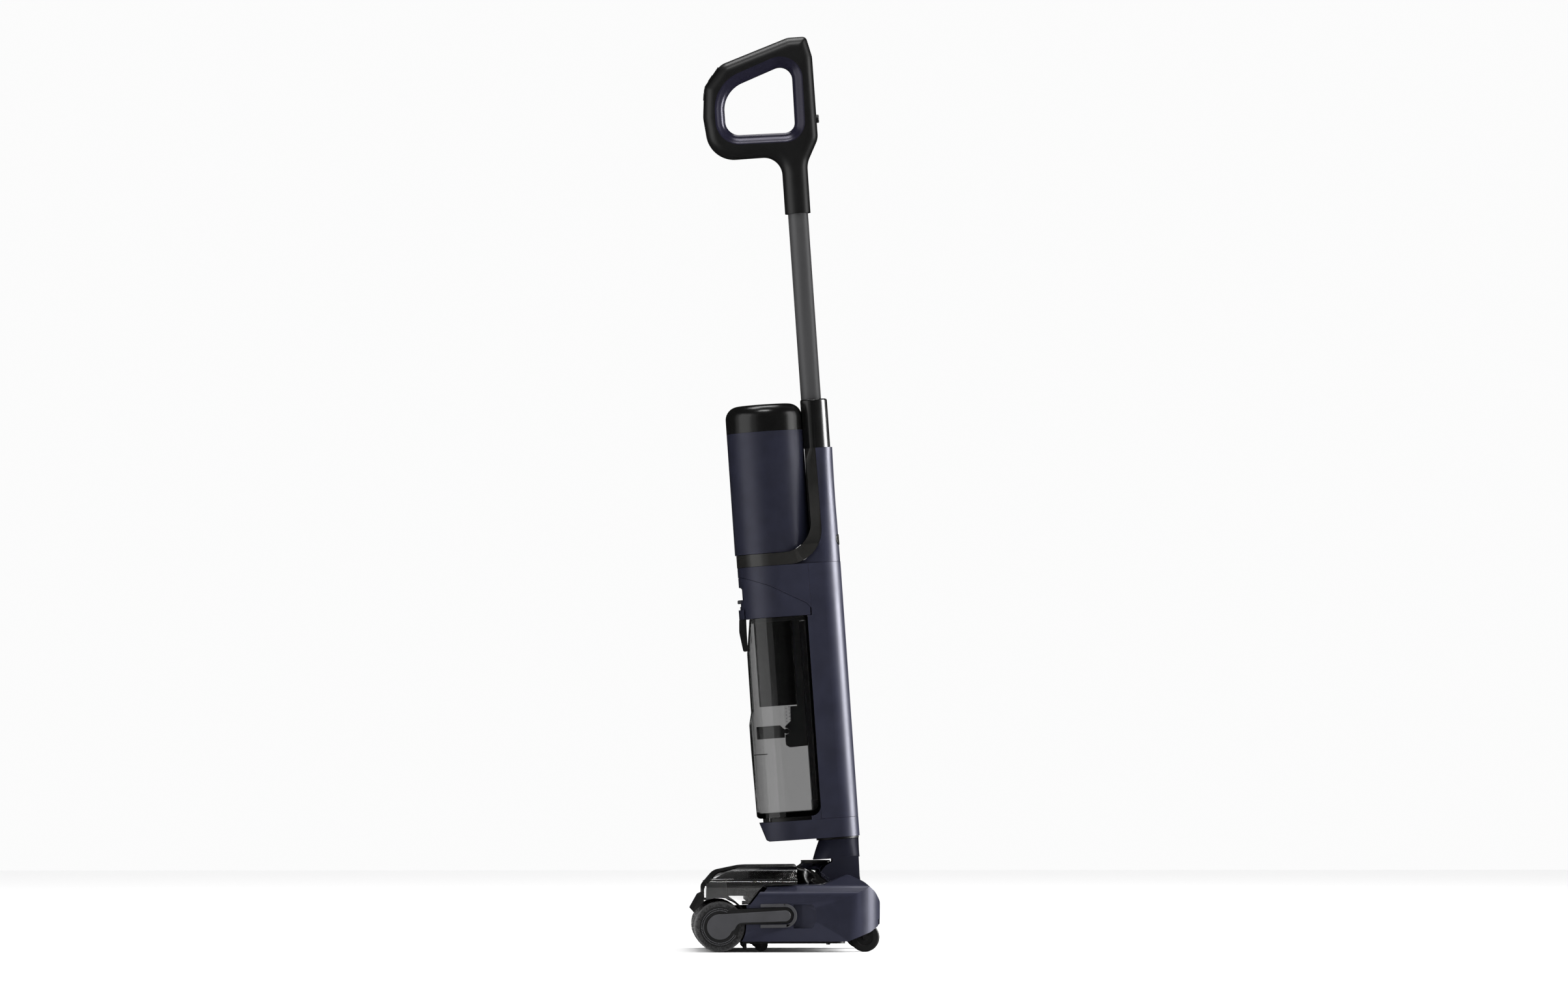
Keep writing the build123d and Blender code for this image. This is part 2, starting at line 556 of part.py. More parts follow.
def filter_housing():
    """Cup of the filter, hanging from the lid into the tank."""
    cup = RectangleRounded(44.6, 62, 18)
    shell = column(cup, 206, LID_LOW - 0.2) - column(offset(cup, -2), 208.5, 320)
    return BODY * Pos(-60.6, 0, 0) * shell


def intake_duct():
    """Flat channel up the back of the dirty tank."""
    duct = Rectangle(5.6, 30) - Rectangle(3.2, 26)
    return BODY * Pos(-25.0, 0, 0) * column(duct, TANK_LOW + 15.2, 306)


def separator():
    """Baffle under the intake, with the pivot of the float."""
    side = outline((-54, 158, 2), (-50, 155.2, 2), (-28.2, 156), (-28.2, 311), (-37.5, 311), (-37.5, 204.5),
                   (-45.6, 204.5), (-46.4, 187), (-53.6, 180.8), (-54.2, 163))
    body = mid_slab(side, 13)
    room = outline((-34.5, 170), (-31.5, 170), (-31.5, 320), (-34.5, 320))
    groove = block(-60, FLOAT_X, -14, 14, FLOAT_Z - 4, FLOAT_Z + 4)
    body -= mid_slab(room, 9)
    return BODY * (body - mid_slab(Pos(FLOAT_X, FLOAT_Z) * Circle(3.6), 14) - groove)


def float_arm():
    """Float bar on its eye, which pivots in the separator's groove."""
    bar = outline((-88, FLOAT_Z - 7.6), (-88, FLOAT_Z + 7.4), (-60.5, FLOAT_Z + 7.6), (-55.4, FLOAT_Z + 2.6),
                  (-55.4, FLOAT_Z - 7.6))
    eye = Pos(FLOAT_X - 2.5, FLOAT_Z) * Rectangle(5, 3.4)
    return BODY * (mid_slab(bar, 22) + mid_slab(eye, 12) + rod_y(FLOAT_X, FLOAT_Z, 3, -12, 12))


def tank_handle():
    """Curved finger paddle under the lid's lip, in front of the tank."""
    side = outline((-99.8, LID_LOW - 0.2), (-100.8, 298, 24), (-97.4, 274, 2.2), (-92.6, 274, 1.5),
                   (-92.4, 298, 24), (-92.0, LID_LOW - 0.2))
    return BODY * mid_slab(side, 17)


def tank_latch():
    side = outline((-92.2, 331.6), (-100.4, 331.6, 1.2), (-100.4, 336, 1.2), (-92.2, 336))
    return BODY * mid_slab(side, 10)


# ---- handle -------------------------------------------------------------------------------------
def handle_outer():
    """Side outline of the loop handle and its socket."""
    return outline((-10.7, SOCKET_LOW), (20.2, SOCKET_LOW), (20.4, 857, 30), (35.4, 886, 22), (35.2, 985, 20),
                   (29.3, 1010.3, 6), (7, 1010.3, 24), (-76, 983, 20), (-98, 956, 14), (-101.5, 920, 30),
                   (-96, 866.8, 34), (-10.7, 867.2, 22))


def handle_hole(grow=0.0):
    hole = outline((-75.2, 950.9, 36), (9.7, 981.4, 15), (8.6, 895, 13), (-75.2, 896.5, 17))
    return offset(hole, grow) if grow else hole


def handle_half(side):
    """One half of the loop, a shell that is open at the parting plane."""
    low, high = (0.05, HANDLE_HALF) if side > 0 else (-HANDLE_HALF, -0.05)
    ring = handle_outer() - handle_hole(7.2)
    half = slab(ring, low, high)
    core_low, core_high = (0, HANDLE_HALF - 3) if side > 0 else (-HANDLE_HALF + 3, 0)
    core = offset(handle_outer(), -3) - handle_hole(10.2) - Pos(0, 800) * Rectangle(80, 120)
    half -= slab(core, core_low, core_high)
    half -= rod_z(TUBE_X, 0, TUBE_R + FIT, 780, 843)
    half -= slab(button_pocket(), -9.3, 9.3)
    return BODY * (half - button_bore())


def button_pocket():
    return outline((-104, 934), (-95.5, 934), (-93, 955), (-75.5, 978), (-83, 986), (-106, 960))


def button_bore():
    return Pos(34, 0, CLEAN_KEY_Z) * Rot(0, 90, 0) * Cylinder(CLEAN_KEY_R + GAP, 12)


def grip_ring():
    """Inner lining of the loop."""
    return BODY * mid_slab(handle_hole(7) - handle_hole(), HANDLE_HALF - 1.5)


def button_panel():
    """Curved panel on the front corner that carries the two keys."""
    side = outline((-99.6, 934.3), (-95.8, 934.3), (-93.3, 955), (-76.5, 977), (-79.5, 980), (-97, 957.5))
    panel = mid_slab(side, 9)
    return BODY * (panel - key_room(0, 0.3) - key_room(1, 0.3))


KEY_SPOTS = ((-96.8, 945.5, 7), (-87.8, 966.0, 38))      # x, z and tilt of each key


def key_room(index, grow):
    x, z, tilt = KEY_SPOTS[index]
    return Pos(x, 0, z) * Rot(0, tilt, 0) * Box(20, 12 + 2 * grow, 8.5 + 2 * grow)


def key(index):
    x, z, tilt = KEY_SPOTS[index]
    return BODY * Pos(x, 0, z) * Rot(0, tilt, 0) * fillet(Box(5.2, 12, 8.5).edges().filter_by(Axis.X), 2)


def clean_button():
    cap = fillet(Cylinder(CLEAN_KEY_R, 7).edges().sort_by(Axis.Z)[-1], 1)
    return BODY * Pos(34.6, 0, CLEAN_KEY_Z) * Rot(0, 90, 0) * cap


# ---- write every piece --------------------------------------------------------------------------
PIECES = {
    "base_shell": base_shell, "base_pan": base_pan, "squeegee": squeegee, "side_brackets": side_brackets,
    "release_arm": release_arm, "drive_cover": drive_cover, "brush_motor": brush_motor, "drive_dog": drive_dog,
    "roller_fabric": roller_fabric, "roller_tube": roller_tube, "brush_cover": brush_cover, "cover_bumper": cover_bumper,
    "duct_collar": duct_collar, "duct_seal": duct_seal, "suction_hose": suction_hose,
    "rear_wheel_left": lambda: rear_wheel(1), "rear_wheel_right": lambda: rear_wheel(-1),
    "support_wheel_left": lambda: support_wheel(1), "support_wheel_right": lambda: support_wheel(-1),
    "wheel_axles": wheel_axles, "hinge_pins": hinge_pins, "charging_contacts": charging_contacts,
    "base_screws": base_screws, "neck_yoke": neck_yoke, "swivel_ring": swivel_ring, "lower_body": lower_body,
    "tank_tray": tank_tray, "tank_cradle": tank_cradle, "spine_frame": spine_frame,
    "mid_housing": mid_housing, "spine_cover": spine_cover,
    "clean_tank_button": clean_tank_button, "trim_band": trim_band, "upper_housing": upper_housing,
    "top_cap": top_cap, "display_lens": display_lens, "battery_pack": battery_pack,
    "suction_motor": suction_motor, "motor_fan": motor_fan, "tube_collar": tube_collar,
    "handle_tube": handle_tube, "clean_tank": clean_tank, "tank_plug": tank_plug, "dirty_tank": dirty_tank,
    "dirty_tank_lid": dirty_tank_lid, "lid_seal": lid_seal, "filter_housing": filter_housing,
    "intake_duct": intake_duct, "separator": separator, "float_arm": float_arm, "tank_handle": tank_handle,
    "tank_latch": tank_latch, "handle_left": lambda: handle_half(1), "handle_right": lambda: handle_half(-1),
    "grip_ring": grip_ring, "button_panel": button_panel, "power_button": lambda: key(0),
    "mode_button": lambda: key(1), "clean_button": clean_button,
}

if __name__ == "__main__":
    os.makedirs("parts", exist_ok=True)
    for name, make in PIECES.items():
        save(make(), name)
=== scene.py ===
"""Looks of a wet dry floor scrubber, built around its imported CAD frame. Lengths are in metres.

The body of the machine leans forward by 4 degrees. Its pieces are drawn upright in the body's own frame, in
millimetres, and placed by BODY. Pieces of the cleaning head are drawn in millimetres in the world's frame.
"""

import math

import bpy
import numpy as np
from mathutils import Matrix, Vector
from mathutils.geometry import delaunay_2d_cdt

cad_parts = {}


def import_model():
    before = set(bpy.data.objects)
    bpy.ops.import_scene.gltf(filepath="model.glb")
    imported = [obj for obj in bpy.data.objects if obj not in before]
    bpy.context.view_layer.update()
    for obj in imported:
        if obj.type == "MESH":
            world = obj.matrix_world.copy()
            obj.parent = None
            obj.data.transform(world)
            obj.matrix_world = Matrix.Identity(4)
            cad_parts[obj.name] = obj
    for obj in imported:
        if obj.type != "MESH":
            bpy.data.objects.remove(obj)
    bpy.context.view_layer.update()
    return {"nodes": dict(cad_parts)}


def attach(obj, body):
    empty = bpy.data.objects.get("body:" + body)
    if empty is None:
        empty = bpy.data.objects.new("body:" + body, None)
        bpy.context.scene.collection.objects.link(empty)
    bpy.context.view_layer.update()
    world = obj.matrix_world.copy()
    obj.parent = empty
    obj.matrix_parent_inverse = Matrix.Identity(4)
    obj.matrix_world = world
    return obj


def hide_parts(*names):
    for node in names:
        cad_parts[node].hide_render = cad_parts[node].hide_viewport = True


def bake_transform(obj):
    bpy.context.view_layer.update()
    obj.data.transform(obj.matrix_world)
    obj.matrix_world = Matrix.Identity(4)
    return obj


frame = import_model()

MM = 0.001                              # metres in a millimetre
BODY = Matrix.Translation((0.0676, 0, 0.0926)) @ Matrix.Rotation(math.radians(-4), 4, "Y")
HEAD = Matrix.Identity(4)
SEED = 7
GLOSS_SCALE = 22.0                      # noise scale of the slow changes of gloss
WORN_FROM, WORN_TO = 0.52, 0.62         # pointiness at which an edge starts to be rubbed, and is rubbed most
WORN_GAIN, WORN_LIFT = 1.6, 0.004       # how much lighter a rubbed edge is
MIX_FACTOR, MIX_A, MIX_B, MIX_RESULT = 0, 6, 7, 2       # sockets of a mix of colours


# ---- materials ----------------------------------------------------------------------------------
def socket_value(node, name, value):
    node.inputs[name].default_value = value


def principled(name, color, rough, grain_scale=1400.0, grain_depth=4e-6, gloss_change=0.04, tone_change=0.12,
               tone_scale=60.0, edge_wear=0.5, stretch=(1.0, 1.0, 1.0), absorption=0.0, **sockets):
    """A node material with fine moulded grain, slow changes of gloss and tone, and slightly lighter edges.

    Further keywords name sockets of the shader, with underscores for spaces.
    """
    mat = bpy.data.materials.new(name)
    mat.use_nodes = True
    tree = mat.node_tree
    tree.nodes.clear()
    new, link = tree.nodes.new, tree.links.new
    out, shader = new("ShaderNodeOutputMaterial"), new("ShaderNodeBsdfPrincipled")
    link(shader.outputs["BSDF"], out.inputs["Surface"])
    for key, value in sockets.items():
        socket_value(shader, key.replace("_", " "), value)
    if absorption:
        smoke = new("ShaderNodeVolumeAbsorption")
        socket_value(smoke, "Color", (0, 0, 0, 1))
        socket_value(smoke, "Density", absorption)
        link(smoke.outputs["Volume"], out.inputs["Volume"])
    place, mapping = new("ShaderNodeTexCoord"), new("ShaderNodeMapping")
    socket_value(mapping, "Scale", stretch)
    link(place.outputs["Object"], mapping.inputs["Vector"])

    def noise(scale, detail):
        node = new("ShaderNodeTexNoise")
        socket_value(node, "Scale", scale)
        socket_value(node, "Detail", detail)
        link(mapping.outputs["Vector"], node.inputs["Vector"])
        return node.outputs["Fac"]

    def spread(source, low, high, start=0.3, end=0.7):
        node = new("ShaderNodeMapRange")
        for key, value in (("From Min", start), ("From Max", end), ("To Min", low), ("To Max", high)):
            socket_value(node, key, value)
        link(source, node.inputs["Value"])
        return node.outputs["Result"]

    gloss = spread(noise(GLOSS_SCALE, 3.0), rough - gloss_change, rough + gloss_change)
    link(gloss, shader.inputs["Roughness"])
    tone = new("ShaderNodeMix")
    tone.data_type = "RGBA"
    dark = [c * (1 - tone_change) for c in color]
    light = [min(1, c * (1 + tone_change)) for c in color]
    socket_value(tone, MIX_A, (*dark, 1))
    socket_value(tone, MIX_B, (*light, 1))
    link(spread(noise(tone_scale, 4.0), 0.0, 1.0), tone.inputs[MIX_FACTOR])
    worn = new("ShaderNodeMix")
    worn.data_type = "RGBA"
    shape = new("ShaderNodeNewGeometry")
    link(spread(shape.outputs["Pointiness"], 0.0, edge_wear, WORN_FROM, WORN_TO), worn.inputs[MIX_FACTOR])
    link(tone.outputs[MIX_RESULT], worn.inputs[MIX_A])
    rubbed = [min(1, c * WORN_GAIN + WORN_LIFT) for c in color]
    socket_value(worn, MIX_B, (*rubbed, 1))
    link(worn.outputs[MIX_RESULT], shader.inputs["Base Color"])
    bump = new("ShaderNodeBump")
    socket_value(bump, "Strength", 1.0)
    socket_value(bump, "Distance", grain_depth)
    link(noise(grain_scale, 2.0), bump.inputs["Height"])
    link(bump.outputs["Normal"], shader.inputs["Normal"])
    return mat


CLEAR = dict(Transmission_Weight=1.0, IOR=1.49, gloss_change=0.01, tone_change=0.01, edge_wear=0.0,
             grain_depth=1e-7)
BUMPY_CLEAR = CLEAR | dict(grain_scale=110.0, grain_depth=4e-4)
MATERIALS = {
    "navy_plastic": principled("navy_plastic", (0.0112, 0.0120, 0.0228), 0.38,
                               Specular_Tint=(0.86, 0.86, 1, 1)),
    "black_gloss": principled("black_gloss", (0.004, 0.004, 0.004), 0.24),
    # lighter copy of black_gloss for the trim band: painted highlight standing in for the sheen along its lit
    # inner corner
    "band_gloss_painted_highlight": principled("band_gloss_painted_highlight", (0.0105, 0.0102, 0.0095), 0.24),
    "black_plastic": principled("black_plastic", (0.0055, 0.0055, 0.0057), 0.38),
    "grey_plastic": principled("grey_plastic", (0.036, 0.036, 0.040), 0.40),
    "indigo_lining": principled("indigo_lining", (0.0075, 0.0070, 0.0150), 0.27,
                                Specular_Tint=(0.88, 0.85, 1, 1)),
    "tube_metal": principled("tube_metal", (0.060, 0.060, 0.062), 0.45, Metallic=0.4, stretch=(1, 1, 0.05),
                             grain_scale=4000.0),
    "clear_cover": principled("clear_cover", (0.93, 0.93, 0.93), 0.02, **CLEAR),
    "smoked_tank": principled("smoked_tank", (1.0, 1.0, 1.0), 0.04, absorption=315.0, **CLEAR),
    "smoked_collar": principled("smoked_collar", (1.0, 1.0, 1.0), 0.03, absorption=170.0, **BUMPY_CLEAR),
    "roller_cloth": principled("roller_cloth", (0.030, 0.030, 0.031), 0.9, Sheen_Weight=0.35,
                               Sheen_Roughness=0.5, tone_change=0.65, tone_scale=520.0, grain_depth=2e-4,
                               grain_scale=900.0),
    "rubber": principled("rubber", (0.008, 0.008, 0.008), 0.48, grain_depth=2e-5),
    "steel": principled("steel", (0.5, 0.5, 0.5), 0.28, Metallic=1.0),
    "contact_metal": principled("contact_metal", (0.8, 0.6, 0.3), 0.25, Metallic=1.0),
    "cell_wrap": principled("cell_wrap", (0.05, 0.12, 0.2), 0.35),
}
# pieces whose look is a variation on the material of their slot
OTHER_LOOKS = {"trim_band": "band_gloss_painted_highlight", "duct_flare": "smoked_collar", "filter_housing": "black_gloss"}


# ---- mesh helpers -------------------------------------------------------------------------------
def piece(name, points, faces, slot, body, place=HEAD, replaced=(), flat=False):
    """A mesh piece from points in millimetres. It rides on a body and stands for the replaced CAD nodes."""
    mesh = bpy.data.meshes.new(name)
    mesh.from_pydata([place @ (Vector(p) * MM) for p in points], [], faces)
    mesh.validate()
    mesh.materials.append(MATERIALS[OTHER_LOOKS.get(name, slot)])
    mesh.polygons.foreach_set("use_smooth", [not flat] * len(mesh.polygons))
    obj = bpy.data.objects.new(name, mesh)
    bpy.context.scene.collection.objects.link(obj)
    if body:
        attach(obj, body)
    if replaced:
        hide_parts(*replaced)
    return obj


EDGE_ANGLE, EDGE_SEGMENTS = 35.0, 2     # edges sharper than this are rounded, in so many steps
EDGE_WIDTH = 0.0005                     # metres, unless a piece asks for more
CURVE_STEP = 1.5                        # longest side of a curve in an outline


def soften(obj, width):
    """Small round edges, with the flats kept flat."""
    weld = obj.modifiers.new("weld", "WELD")
    weld.merge_threshold = 2e-6
    bevel = obj.modifiers.new("bevel", "BEVEL")
    bevel.width, bevel.segments, bevel.limit_method = width, EDGE_SEGMENTS, "ANGLE"
    bevel.angle_limit = math.radians(EDGE_ANGLE)
    normals = obj.modifiers.new("normals", "WEIGHTED_NORMAL")
    normals.keep_sharp = True
    return obj


def rounded(corners):
    """Points of a closed outline with corners (u, v) that are sharp, or (u, v, radius) that are round."""
    count, points = len(corners), []
    for i, (u, v, *radius) in enumerate(corners):
        here = Vector((u, v))
        before = Vector(corners[i - 1][:2])
        after = Vector(corners[(i + 1) % count][:2])
        if not radius:
            points.append(here)
            continue
        a, b = (before - here).normalized(), (after - here).normalized()
        half = a.angle(b) / 2
        reach = radius[0] / math.tan(half)
        start, end = here + a * reach, here + b * reach
        centre = here + (a + b).normalized() * (radius[0] / math.sin(half))
        turn = (start - centre).angle_signed(end - centre)
        steps = max(2, math.ceil(abs(turn) * radius[0] / CURVE_STEP))
        for k in range(steps + 1):
            arm = start - centre
            arm.rotate(Matrix.Rotation(-turn * k / steps, 2))
            points.append(centre + arm)
    return np.array([tuple(p) for p in points])


def resample(loop, step):
    """The closed loop with extra points, so that none of its sides is longer than step."""
    out = []
    for a, b in zip(loop, np.roll(loop, -1, axis=0)):
        n = max(1, math.ceil(np.linalg.norm(b - a) / step))
        out += [a + (b - a) * k / n for k in range(n)]
    return np.array(out)


def distance(points, loop, skip=lambda a, b: False):
    """Distance of each point to the sides of a closed loop."""
    best = np.full(len(points), 1e9)
    for a, b in zip(loop, np.roll(loop, -1, axis=0)):
        d = b - a
        if not d @ d or skip(a, b):
            continue
        t = np.clip((points - a) @ d / (d @ d), 0, 1)
        best = np.minimum(best, np.linalg.norm(points - a - t[:, None] * d, axis=1))
    return best


def ease(t):
    """Smooth step from 0 to 1."""
    return t * t * (3 - 2 * t)


def inside(points, loop):
    """Which points lie inside a closed loop."""
    found = np.zeros(len(points), bool)
    for (x0, y0), (x1, y1) in zip(loop, np.roll(loop, -1, axis=0)):
        if y0 == y1:
            continue
        crosses = (y0 > points[:, 1]) != (y1 > points[:, 1])
        found ^= crosses & (points[:, 0] < x0 + (points[:, 1] - y0) * (x1 - x0) / (y1 - y0))
    return found


def lathe(profile, segments, centre, axis="Y"):
    """Points and faces of a closed profile (radius, along) turned round an axis through centre."""
    points, faces = [], []
    for k in range(segments):
        c, s = math.cos(2 * math.pi * k / segments), math.sin(2 * math.pi * k / segments)
        for r, along in profile:
            if axis == "Y":
                points.append((centre[0] + r * c, centre[1] + along, centre[2] + r * s))
            else:
                points.append((centre[0] + r * c, centre[1] + r * s, centre[2] + along))
    n = len(profile)
    for k in range(segments):
        low, high = k * n, (k + 1) % segments * n
        for i in range(n):
            j = (i + 1) % n
            faces.append((low + i, low + j, high + j, high + i))
    return points, faces


def arc(x, z, radius, first, last, steps):
    """Points of an arc round (x, z) between two angles in degrees."""
    angles = [math.radians(first + k * (last - first) / steps) for k in range(steps + 1)]
    return [(x + radius * math.cos(a), z + radius * math.sin(a)) for a in angles]


def plate(loop, low, high):
    """Points and faces of a flat plate with a side outline (x, z), from y = low to y = high."""
    n = len(loop)
    points = [(x, y, z) for y in (low, high) for x, z in loop]
    faces = [tuple(range(n)), tuple(range(2 * n - 1, n - 1, -1))]
    faces += [((i + 1) % n, i, n + i, n + (i + 1) % n) for i in range(n)]
    return points, faces


# ---- handle -------------------------------------------------------------------------------------
SOCKET_LOW = 797.0                      # lower end of the socket that holds the tube
HANDLE_OUTER = [(-10.7, SOCKET_LOW), (20.2, SOCKET_LOW), (20.4, 857, 30), (35.4, 886, 22), (35.2, 985, 20),
                (29.3, 1010.3, 6), (7, 1010.3, 24), (-76, 983, 20), (-98, 956, 14), (-101.5, 920, 30),
                (-96, 866.8, 34), (-10.7, 867.2, 22)]
HANDLE_HOLE = [(-75.2, 950.9, 36), (9.7, 981.4, 15), (8.6, 895, 13), (-75.2, 896.5, 17)]
HOLE_CENTRE = (-33.0, 935.0)
HALF = 15.0                             # half thickness of the loop
EDGE_LOW, EDGE_HIGH = 15.5, 13.0        # width of the round outer edge at the socket and at the loop
SOCKET_HIGH, SOCKET_BLEND = 846.0, 34.0         # where the socket ends, and the height that it takes to blend
LINING = 12.0                           # width of the lining round the hole
LIP = 6.5                               # width of the round lip at the hole
LIP_LOW, LIP_HIGH = 6.5, 12.0           # half thickness at the lip's foot and at its crest
LIP_FLAT = LIP * 0.8                    # where the loop starts to rise again behind the lip
# depths of the rows of points along the outer edge and along the hole, and the step between other points
OUTER_ROWS = (0.25, 0.9, 1.9, 3.3, 5.0, 7.0, 9.4, 12.0)
HOLE_ROWS = (0.3, 0.9, 1.7, 2.7, 3.9, 5.2, 6.6, 8.0, 9.4, 10.8, LINING, 13.2)
GRID_STEP = 2.4
TOUCHING = 1e-3                         # points closer than this to a line lie on it


def at_foot(a, b):
    """Whether a side of the outline is the socket's lower end, which isn't rounded."""
    return a[1] == b[1] == SOCKET_LOW


def handle_height(points, outer, hole):
    """Half thickness of the handle over points (x, z): round outside, dished towards the lining inside."""
    blend = np.clip((points[:, 1] - SOCKET_HIGH) / SOCKET_BLEND, 0, 1)
    reach = EDGE_LOW + (EDGE_HIGH - EDGE_LOW) * ease(blend)
    t = np.clip(distance(points, outer, at_foot) / reach, 0, 1)
    rim = HALF * np.sqrt(np.clip(1 - (1 - t) ** 2, 0, 1))
    to_hole = distance(points, hole)
    lip = LIP_LOW + (LIP_HIGH - LIP_LOW) * np.sin(math.pi / 2 * np.clip(to_hole / LIP, 0, 1))
    rise = np.clip((to_hole - LIP_FLAT) / (LINING - LIP_FLAT), 0, 1)
    return np.minimum(rim, lip + (HALF - LIP_HIGH) * ease(rise))


def edge_rows(loop, depths, within):
    """Rows of points at set depths from a loop, on its inner side if within, else on its outer side."""
    along = np.roll(loop, -1, axis=0) - np.roll(loop, 1, axis=0)
    normal = np.stack([-along[:, 1], along[:, 0]], 1)
    normal /= np.linalg.norm(normal, axis=1)[:, None]
    normal[inside(loop + normal * 0.1, loop) != within] *= -1
    rows = []
    for depth in depths:
        moved = loop + normal * depth
        rows.append(moved[distance(moved, loop) > depth - 0.04])
    return rows


def thin_out(points, least, least_near_edge, near_edge):
    """Drops points that lie too close to an earlier one, as where the rows of two edges meet."""
    kept, cells = [], {}
    for p, close in zip(points, near_edge):
        room = least_near_edge if close else least
        column, row = int(p[0] // least), int(p[1] // least)
        around = [q for i in (-1, 0, 1) for j in (-1, 0, 1) for q in cells.get((column + i, row + j), ())]
        if all(math.hypot(p[0] - q[0], p[1] - q[1]) >= room for q in around):
            kept.append(p)
            cells.setdefault((column, row), []).append(p)
    return np.array(kept)


def handle_sheet():
    """Points (x, z), triangles, half thicknesses and distances to the hole, for one side of the handle."""
    outer = resample(rounded(HANDLE_OUTER), 2.2)
    hole = resample(rounded(HANDLE_HOLE), 2.0)
    rows = edge_rows(outer, OUTER_ROWS, True) + edge_rows(hole, HOLE_ROWS, False)
    xs, zs = np.meshgrid(np.arange(-104, 38, GRID_STEP), np.arange(SOCKET_LOW + 1, 1012, GRID_STEP))
    grid = np.stack([xs.ravel(), zs.ravel()], 1)
    grid = grid[(distance(grid, outer) > OUTER_ROWS[-1] + 1.2) & (distance(grid, hole) > HOLE_ROWS[-1] + 1.0)]
    extra = np.concatenate(rows + [grid])
    to_outer, to_hole = distance(extra, outer), distance(extra, hole)
    extra = extra[inside(extra, outer) & ~inside(extra, hole) & (to_outer > 0.2) & (to_hole > 0.25)]
    extra = thin_out(extra, 0.62, 0.22, np.minimum(distance(extra, outer), distance(extra, hole)) < 2.2)
    edges = [(i, (i + 1) % len(outer)) for i in range(len(outer))]
    edges += [(len(outer) + i, len(outer) + (i + 1) % len(hole)) for i in range(len(hole))]
    cloud = np.concatenate([outer, hole, extra])
    result = delaunay_2d_cdt([Vector(p) for p in cloud], edges, [], 0, 1e-5)
    spots = np.array([tuple(p) for p in result[0]])
    tris = np.array([f for f in result[2] if len(f) == 3])
    centres = spots[tris].mean(axis=1)
    tris = tris[inside(centres, outer) & ~inside(centres, hole)]
    heights = handle_height(spots, outer, hole)
    heights[distance(spots, outer, at_foot) < TOUCHING] = 0
    return spots, tris, heights, distance(spots, hole)


def handle():
    """The loop handle with its socket, and the satin lining of its loop."""
    spots, tris, heights, to_hole = handle_sheet()
    n = len(spots)
    points = [(x, side * h, z) for side in (-1, 1) for (x, z), h in zip(spots, heights)]
    lined = (to_hole[tris] < LINING - 0.3).any(axis=1)
    near, far = tris, tris[:, ::-1] + n
    hole_edge = [i for i in range(n) if to_hole[i] < TOUCHING]
    hole_edge.sort(key=lambda i: math.atan2(spots[i][1] - HOLE_CENTRE[1], spots[i][0] - HOLE_CENTRE[0]))
    walls = [(a, b, b + n, a + n) for a, b in zip(hole_edge, hole_edge[1:] + hole_edge[:1])]
    low = sorted((i for i in range(n) if abs(spots[i][1] - SOCKET_LOW) < TOUCHING), key=lambda i: spots[i][0])
    foot = [(a + n, b + n, b, a) for a, b in zip(low, low[1:])]
    shell = [tuple(t) for t in near[~lined]] + [tuple(t) for t in far[~lined]] + foot
    lining = [tuple(t) for t in near[lined]] + [tuple(t) for t in far[lined]] + walls

    def build(name, faces, slot, replaced):
        used = sorted({i for f in faces for i in f})
        order = {old: new for new, old in enumerate(used)}
        corners = [points[i] for i in used]
        sides = [tuple(order[i] for i in f) for f in faces]
        obj = piece(name, corners, sides, slot, "body", BODY, replaced)
        weld = obj.modifiers.new("weld", "WELD")
        weld.merge_threshold = 1e-6

    build("handle_shell", shell, "black_plastic", ("handle_left", "handle_right"))
    build("handle_lining", lining, "indigo_lining", ("grip_ring",))


# ---- roller -------------------------------------------------------------------------------------
ROLLER = (-80.0, -1.25, 30.5)           # its centre
ROLLER_R, CORE_R, ROLLER_HALF = 30.5, 22.1, 111.25
SLEEVE_R = ROLLER_R - 1.6               # the pile's ground, below the tips of the fibres
FIBRES, FIBRE_WIDTH = 26000, 0.16
END_SHARE = 0.22                        # share of the fibres that stand on the roller's ends


def pile_sleeve(rng):
    """Points and faces of an uneven sleeve over the roller's core."""
    segments, rows = 260, 130
    along = np.linspace(-ROLLER_HALF + 1.5, ROLLER_HALF - 1.5, rows)
    face = [(CORE_R, -ROLLER_HALF)] + [(r, -ROLLER_HALF) for r in np.linspace(CORE_R + 1.5, SLEEVE_R - 1, 5)]
    profile = face + [(SLEEVE_R, y) for y in along] + [(r, -y) for r, y in reversed(face)]
    points, faces = lathe(profile, segments, ROLLER)
    points = np.array(points)
    fine = rng.random((segments, len(profile)))
    coarse = rng.random((segments // 4 + 1, len(profile) // 3 + 1))
    coarse = coarse.repeat(4, 0)[:segments].repeat(3, 1)[:, :len(profile)]
    tufts = fine * 0.5 + coarse * 0.9
    radial = points - np.array(ROLLER)
    radial[:, 1] = 0
    radial /= np.linalg.norm(radial, axis=1)[:, None]
    on_side = np.array([len(face) <= i < len(face) + rows for i in range(len(profile))])
    points += radial * (tufts * on_side)[..., None].reshape(-1, 1)
    outward = np.array([-1.0 if i < len(face) else 1.0 for i in range(len(profile))])
    on_end = ~on_side & (np.array([r for r, y in profile]) > CORE_R + 1)
    points[:, 1] += (tufts * 0.6 * outward * on_end).reshape(-1)
    return points, faces


